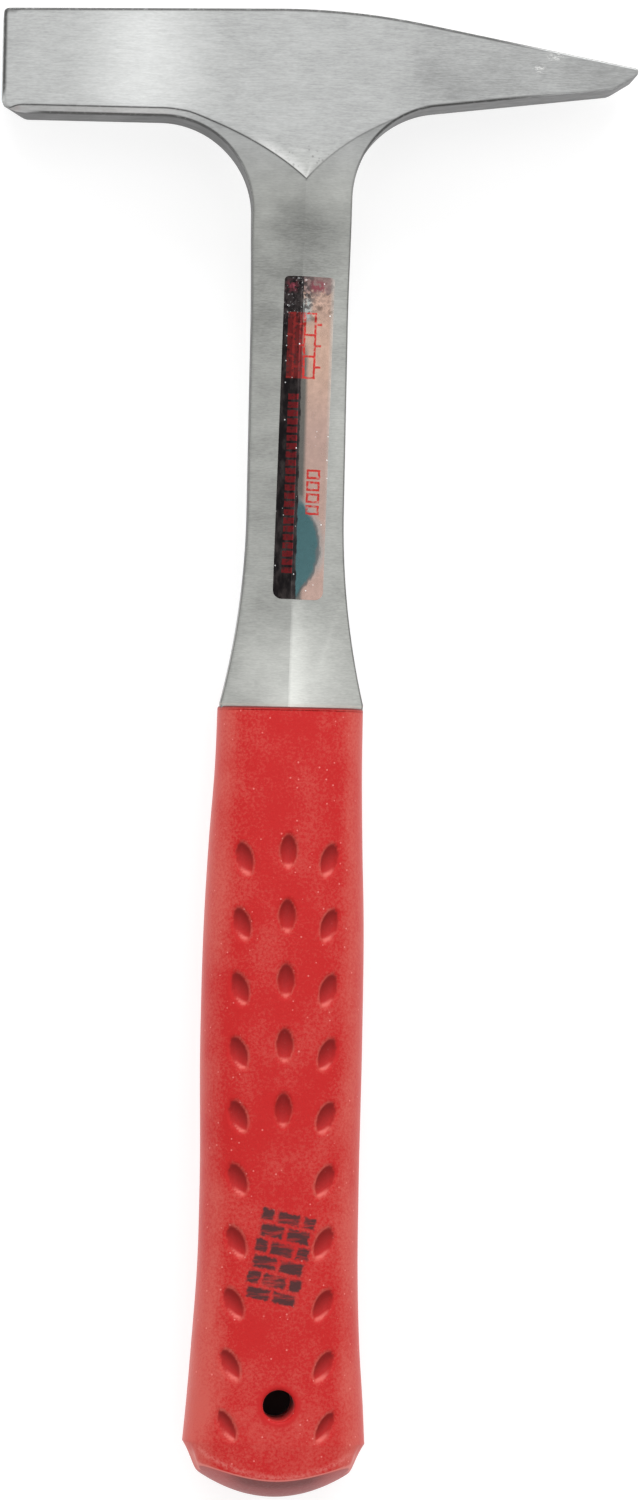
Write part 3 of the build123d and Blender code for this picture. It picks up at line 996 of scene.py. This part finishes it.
def vinyl_look():
    """Red vinyl with chalky whitening and a painted sheen on its sides, pale flecks, cleaner dimples painted
    with shade and a highlight, a butt end in painted shade with a painted highlight and dust, a painted
    shadow at the top seam, a hang hole painted dark with a painted glow, and a worn ink stamp.
    """
    look = Look("red_vinyl_look")
    ramp, near, plus, times = look.ramp, look.near, look.plus, look.times
    grain, mix, cover = look.grain, look.mix, look.cover
    x, y, z = look.x, look.y, look.z
    cloud = grain((9, 13, 9), detail=4, rough=0.6, shift=(2, 4, 8))
    speckle = grain(0.6, detail=3, rough=0.75)
    facing_head = look.normal[1]

    # chalky whitening over the deep red, with a painted sheen on the sides that turn away from the front
    bloom_and_sheen = plus(
        ramp(cloud, 0.32, 0.68, -0.12, 0.3),
        ramp(speckle, 0.32, 0.68, -0.27, 0.31),
        ramp(look.upright, 0.995, 0.75, 0.0, 0.55),
    )
    for spot in CLEAN_SPOTS:
        bloom_and_sheen = plus(bloom_and_sheen, times(look.patch(*spot), -0.3))
    dusty = times(look.patch(-15, 4, 3, 6, 12, 8), 0.35)
    bloom_and_sheen = plus(bloom_and_sheen, dusty, ramp(y, 14, 2, 0.0, 0.13))
    bloom_and_sheen = times(bloom_and_sheen, ramp(look.from_hole, 15, 24))
    deep, chalky = (0.5, 0.005, 0.005), (0.57, 0.085, 0.065)
    look.colour = mix(ramp(bloom_and_sheen, 0, 1, kind="LINEAR"), deep, chalky)
    cover(times(look.flecks(1.5, 0.3, 0.16), 0.5), (0.85, 0.3, 0.27))

    # dimples: painted shade at the upper end, a painted highlight at the lower
    dimple_shade_and_highlight = mix(ramp(facing_head, -0.35, 0.4), (0.25, 0.002, 0.002), (0.43, 0.006, 0.006))
    dimple_shade_and_highlight = mix(ramp(facing_head, 0.3, 0.55), dimple_shade_and_highlight, (0.66, 0.12, 0.1))
    cover(ramp(look.attribute("dimple"), 0.12, 0.6, 0.0, 0.9), dimple_shade_and_highlight)

    # butt: its end painted in shade, darkest just under the front edge and lighter to the sides, a painted
    # highlight along the front edge, and dust along its rim
    butt_end = times(ramp(facing_head, -0.5, -0.85), ramp(y, -7, -10))
    butt_shade = mix(ramp(z, 8, 11), (0.23, 0.048, 0.05), (0.095, 0.012, 0.014))
    beside = ramp(look.math("ABSOLUTE", x), 6, 12)
    butt_shade = mix(times(beside, 0.9), butt_shade, (0.37, 0.066, 0.064))
    cover(times(butt_end, 0.85), butt_shade)
    butt_edge_highlight = times(near(facing_head, -0.45, 0.2, 0.08), ramp(y, -9, -11), ramp(z, 3, 6))
    cover(times(butt_edge_highlight, 0.45), (0.78, 0.33, 0.29))
    rise = look.math("MULTIPLY_ADD", times(x, x), -0.5 / BUTT_RADII[0], y)
    dusted = times(near(rise, BUTT_Y + 4.6, 0.3, 0.9), ramp(z, 8, 10), ramp(speckle, 0.35, 0.6, 0.15, 0.6))
    cover(dusted, (0.7, 0.22, 0.19))
    # a painted shadow line round the top, where the grip meets the steel
    seam = ramp(y, GRIP_TOP_Y - 0.55, GRIP_TOP_Y - 0.25, 0.0, 0.8)
    cover(seam, (0.05, 0.012, 0.012))

    # hang hole: painted dark inside as shade, and a painted red glow, by emission, on its lower wall in
    # place of light
    wall = ramp(look.from_hole, 12.5, 11.2)
    bore = times(wall, ramp(look.math("ABSOLUTE", z), 10.0, 3.0))
    cover(bore, (0.05, 0.003, 0.003))
    # a painted glow on the lower wall near the front, in place of light
    through = times(wall, ramp(facing_head, -0.2, 0.8), ramp(z, -10.0, 9.0), ramp(z, 11.8, 11.2), 0.55)

    cover(stamp(look), (0.03, 0.014, 0.015))
    look.bump(plus(grain(0.55, rough=0.6), times(cloud, 0.3)), 0.6, 0.12)
    rough = ramp(speckle, 0.3, 0.7, 0.5, 0.68)
    return look.finish(Roughness=rough, Specular_IOR_Level=0.3, Sheen_Weight=0.16, Sheen_Roughness=0.4,
                       Sheen_Tint=(1.0, 0.8, 0.78), Emission_Color=(0.6, 0.012, 0.01),
                       Emission_Strength=through)


def bond(look, centre, turn, brick, line, first_row=False, smooth=0.3, bleed=0.25):
    """Brick-course pattern round a centre: 1 on the joints, and the pattern's own two coordinates.

    first_row centres a single row of bricks, instead of a joint, on the centre. bleed is how far the
    lines stray.
    """
    moved = look.math("SUBTRACT", look.place, (centre[0] + bleed / 2, centre[1] + bleed / 2, 0.0))
    shaken = look.math("MULTIPLY_ADD", look.grain(0.9, output="Color"), (bleed, bleed, 0.0), moved)
    turned = look.fill(look.node("ShaderNodeMapping", shaken, vector_type="POINT"), Rotation=(0, 0, turn))
    flat = look.math("MULTIPLY", turned.outputs[0], (1.0, 1.0, 0.0))
    shift = (brick[0] / 2, brick[1] / 2, 0.0) if first_row else (0.0, 0.0, 0.0)
    bricks = look.fill(look.node("ShaderNodeTexBrick", look.math("ADD", flat, shift), offset=0.5), Scale=1.0,
                       Mortar_Size=line, Mortar_Smooth=smooth, Brick_Width=brick[0], Row_Height=brick[1])
    x, y, _ = look.split(flat)
    return bricks.outputs["Fac"], x, y


def stamp(look):
    """A worn stamp of brick courses on the front of the grip."""
    joints, x, y = bond(look, (-0.4, 30.3), radians(12), (5.4, 3.3), 0.8, smooth=1.0, bleed=1.2)
    inside = look.times(look.near(x, 0, 5.6, 0.3), look.near(y, 0, 9.3, 0.3), look.ramp(look.z, 2, 4))
    wear = look.ramp(look.grain((6.0, 1.1, 3.0), detail=4, rough=0.7), 0.3, 0.54, 0.3, 1.0)
    return look.times(look.ramp(joints, 0, 1, 0.92, 0.08), inside, wear)


def foil_look():
    """Mirror foil with painted reflections: dark left of its fold, rosy right of it, with a teal pool low
    down; and red prints.
    """
    look = Look("label_foil_look")
    ramp, near, plus, times = look.ramp, look.near, look.plus, look.times
    grain, mix, cover = look.grain, look.mix, look.cover
    y = look.y
    u = look.math("SUBTRACT", look.x, look.math("MULTIPLY_ADD", y, FOLD_X[1], FOLD_X[0]))
    ragged = grain((1.4, 3.0, 2.0), detail=3, rough=0.6)
    crisp = grain(0.8, detail=3)
    lumps = grain((2.2, 2.0, 2.0), detail=3, rough=0.6, shift=(4, 4, 4))

    # right of the fold: painted reflections, rosy with darker, grey and teal patches
    look.colour = mix(ramp(y, 198, 214), (0.4, 0.275, 0.235), (0.445, 0.3, 0.235))
    cover(ramp(y, 217, 227, 0.0, 0.45), (0.35, 0.24, 0.2))
    top_edge = ramp(plus(y, look.swing(lumps, 1.2)), 227.6, 228.8)
    cover(times(top_edge, 0.85), (0.17, 0.115, 0.115))
    beside_fold = times(ramp(u, 0.7, 1.7, 1.0, 0.0), ramp(y, 219, 214))
    cover(beside_fold, (0.115, 0.11, 0.1))
    up = look.math("SUBTRACT", y, 176.0)
    brink = look.math("MULTIPLY_ADD", times(up, up), -0.043, 4.7)
    past = plus(look.math("SUBTRACT", u, brink), look.swing(ragged, 0.3))
    dusk = times(ramp(past, 1.9, 0.2), ramp(y, 188, 184), ramp(y, 168, 173), 0.75)
    cover(dusk, (0.3, 0.29, 0.28))
    pool = times(ramp(past, 0.5, -0.7), ramp(y, 187, 184))
    cover(pool, (0.052, 0.12, 0.13))
    shore = times(near(past, -0.1, 0.3, 0.3), ramp(y, 183, 180), 0.55)
    cover(shore, (0.05, 0.055, 0.06))
    clear = times(ramp(u, 2.4, 1.0), near(y, 224.8, 2.4, 0.8), ramp(lumps, 0.3, 0.5, 0.4, 1.0))
    cover(clear, (0.3, 0.32, 0.31))
    cover(ramp(u, 5.3, 6.6, 0.0, 0.9), (0.42, 0.4, 0.37))

    # left of the fold, a painted dark reflection, and the crumpled top with a painted glint
    dark = mix(ramp(ragged, 0.35, 0.7), (0.009, 0.007, 0.008), (0.045, 0.037, 0.036))
    right = ramp(plus(u, look.swing(ragged, 0.12)), -0.1, 0.12)
    look.colour = mix(right, dark, look.colour)
    wrinkle = times(ramp(y, 221, 226), ramp(crisp, 0.46, 0.54), ramp(u, 3.5, 1.0, 0.25, 0.8))
    cover(wrinkle, (0.055, 0.045, 0.045))
    glint = times(ramp(y, 219, 225), ramp(grain(0.5), 0.64, 0.68), ramp(u, 2.0, 0.5), 0.6)
    cover(glint, (0.5, 0.5, 0.5))
    for smear_x, half_x in ((-1.8, 1.0), (3.6, 1.5)):
        smear = times(look.patch(smear_x, half_x, 0.7, 229.6, 1.0, 0.7), ramp(crisp, 0.42, 0.5))
        cover(times(smear, 0.75), (0.22, 0.035, 0.055))

    # prints: a framed brick bond at the top, a long row of blocks and a short one
    ink = mix(right, (0.3, 0.028, 0.026), (0.47, 0.03, 0.024))
    dull_ink = (0.17, 0.012, 0.015)
    worn = ramp(crisp, 0.36, 0.5, 0.35, 1.0)
    along_handle = radians(90) + LABEL_LEAN
    joints, s, t = bond(look, (0.9, 217.4), along_handle, (4.4, 2.2), 0.27)
    framed = times(near(s, 0, 6.8, 0.1), near(t, 0, 3.5, 0.1), worn)
    filled = times(framed, ramp(u, 1.0, -0.3), 0.85)
    cover(filled, (0.2, 0.02, 0.02))
    cover(times(joints, framed), ink)
    for centre, block, half_length, frame_line, shade in (
        ((-1.45, 189.0), (1.7, 2.6), 18.7, 2.0, dull_ink),
        ((3.3, 187.3), (2.45, 3.3), 4.9, 0.82, ink),
    ):
        gaps, s, t = bond(look, centre, along_handle, block, 0.28, first_row=True)
        frames, _, _ = bond(look, centre, along_handle, block, frame_line, first_row=True)
        in_row = times(near(s, 0, half_length, 0.1), near(t, 0, block[1] / 2 - 0.2, 0.1))
        blocks = times(look.math("SUBTRACT", frames, gaps), in_row, worn)
        cover(blocks, shade)

    cover(look.flecks(1.3, 0.3, 0.14), (0.8, 0.8, 0.8))
    look.bump(grain(1.2, detail=3, rough=0.6), 0.25, 0.05)
    rough = ramp(ragged, 0.3, 0.7, 0.16, 0.28)
    return look.finish(Metallic=1.0, Roughness=rough, Coat_Weight=0.2, Coat_Roughness=0.1)


def floor_look():
    """Pale and glowing like a light table, with a painted shadow: dark and without glow in the spot under
    the hang hole.
    """
    look = Look("floor_look")
    pale = look.mix(look.grain(60), (0.35, 0.35, 0.35), (0.36, 0.36, 0.36))
    # painted shadow under the hang hole: dark and without glow
    clear = look.ramp(look.from_hole, 36, 100)
    look.colour = look.mix(clear, (0.05, 0.04, 0.04), pale)
    return look.finish(Roughness=0.9, Emission_Color=(1, 1, 1),
                       Emission_Strength=look.times(clear, FLOOR_GLOW))


# -------- floor, light and camera
def floor():
    """A pale table top under the lying hammer."""
    mesh = bpy.data.meshes.new("floor")
    reach = 3.0
    level = cad_box[0][2] - 0.0001
    corners = [(reach * x, reach * y, level) for x, y in ((-1, -1), (1, -1), (1, 1), (-1, 1))]
    mesh.from_pydata(corners, [], [(0, 1, 2, 3)])
    mesh.materials.append(floor_look())
    return add("floor", mesh)


def sky():
    """Even pale light, brighter overhead and beyond the head than behind the butt."""
    world = bpy.data.worlds.new("soft_room")
    bpy.context.scene.world = world
    nodes = Nodes(world)
    coords = nodes.node("ShaderNodeTexCoord")
    lean = nodes.node("ShaderNodeVectorMath", coords.outputs["Generated"], SKY_LEAN, operation="DOT_PRODUCT")
    level = nodes.math("ADD", lean.outputs["Value"], SKY_LEVEL)
    background = nodes.node("ShaderNodeBackground", (1, 1, 1), level)
    nodes.node("ShaderNodeOutputWorld", background.outputs[0])


def lamp(name, place, size, watts, target=(0.0, 0.15, 0.0)):
    light = bpy.data.lights.new(name, "AREA")
    light.shape = "RECTANGLE"
    light.size, light.size_y = size
    light.energy = watts
    holder = add(name, light)
    holder.location = place
    aim = Vector(target) - Vector(place)
    holder.rotation_euler = aim.to_track_quat("-Z", "Y").to_euler()


def camera():
    """Looks down on the hammer from far off, a little from the poll's side and the butt's side."""
    right = Vector((cos(CAMERA_ROLL), sin(CAMERA_ROLL), 0))
    up = Vector((-sin(CAMERA_ROLL), cos(CAMERA_ROLL), 0))
    aim = Vector(CAMERA_AIM) * MM
    place = aim + (Vector((0, 0, CAMERA_RISE)) + CAMERA_SHIFT[0] * right + CAMERA_SHIFT[1] * up) * MM
    data = bpy.data.cameras.new("camera")
    data.sensor_fit = "VERTICAL"
    data.sensor_height = 24.0
    data.lens = data.sensor_height * (place - aim).length / (VIEW_HEIGHT * MM)
    data.clip_start, data.clip_end = 0.05, 20.0
    back = (place - aim).normalized()
    side = up.cross(back).normalized()
    turn = Matrix((side, back.cross(side), back)).transposed()
    holder = add("camera", data)
    holder.matrix_world = Matrix.Translation(place) @ turn.to_4x4()
    bpy.context.scene.camera = holder


# -------- the scene
for piece, node, slot, look in (
    (steel_forging(), "steel_forging", "ground_steel", steel_look()),
    (vinyl_grip(), "vinyl_grip", "red_vinyl", vinyl_look()),
    (foil_label(), "foil_label", "label_foil", foil_look()),
):
    piece.data.materials.append(look)
    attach(piece, "root")
    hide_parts(node)

floor()
sky()
lamp("overhead", (-0.05, 0.5, 2.4), (1.8, 1.8), 9)
lamp("right", (1.7, 0.8, 1.6), (1.0, 1.2), 3.4)
lamp("left", (-1.9, 0.3, 0.9), (0.8, 1.6), 4)
lamp("back", (0.1, 2.2, 1.1), (2.4, 1.2), 34)
lamp("front", (0.0, -1.9, 0.8), (2.4, 0.8), 5)
camera()
bpy.context.scene.view_settings.view_transform = "Standard"
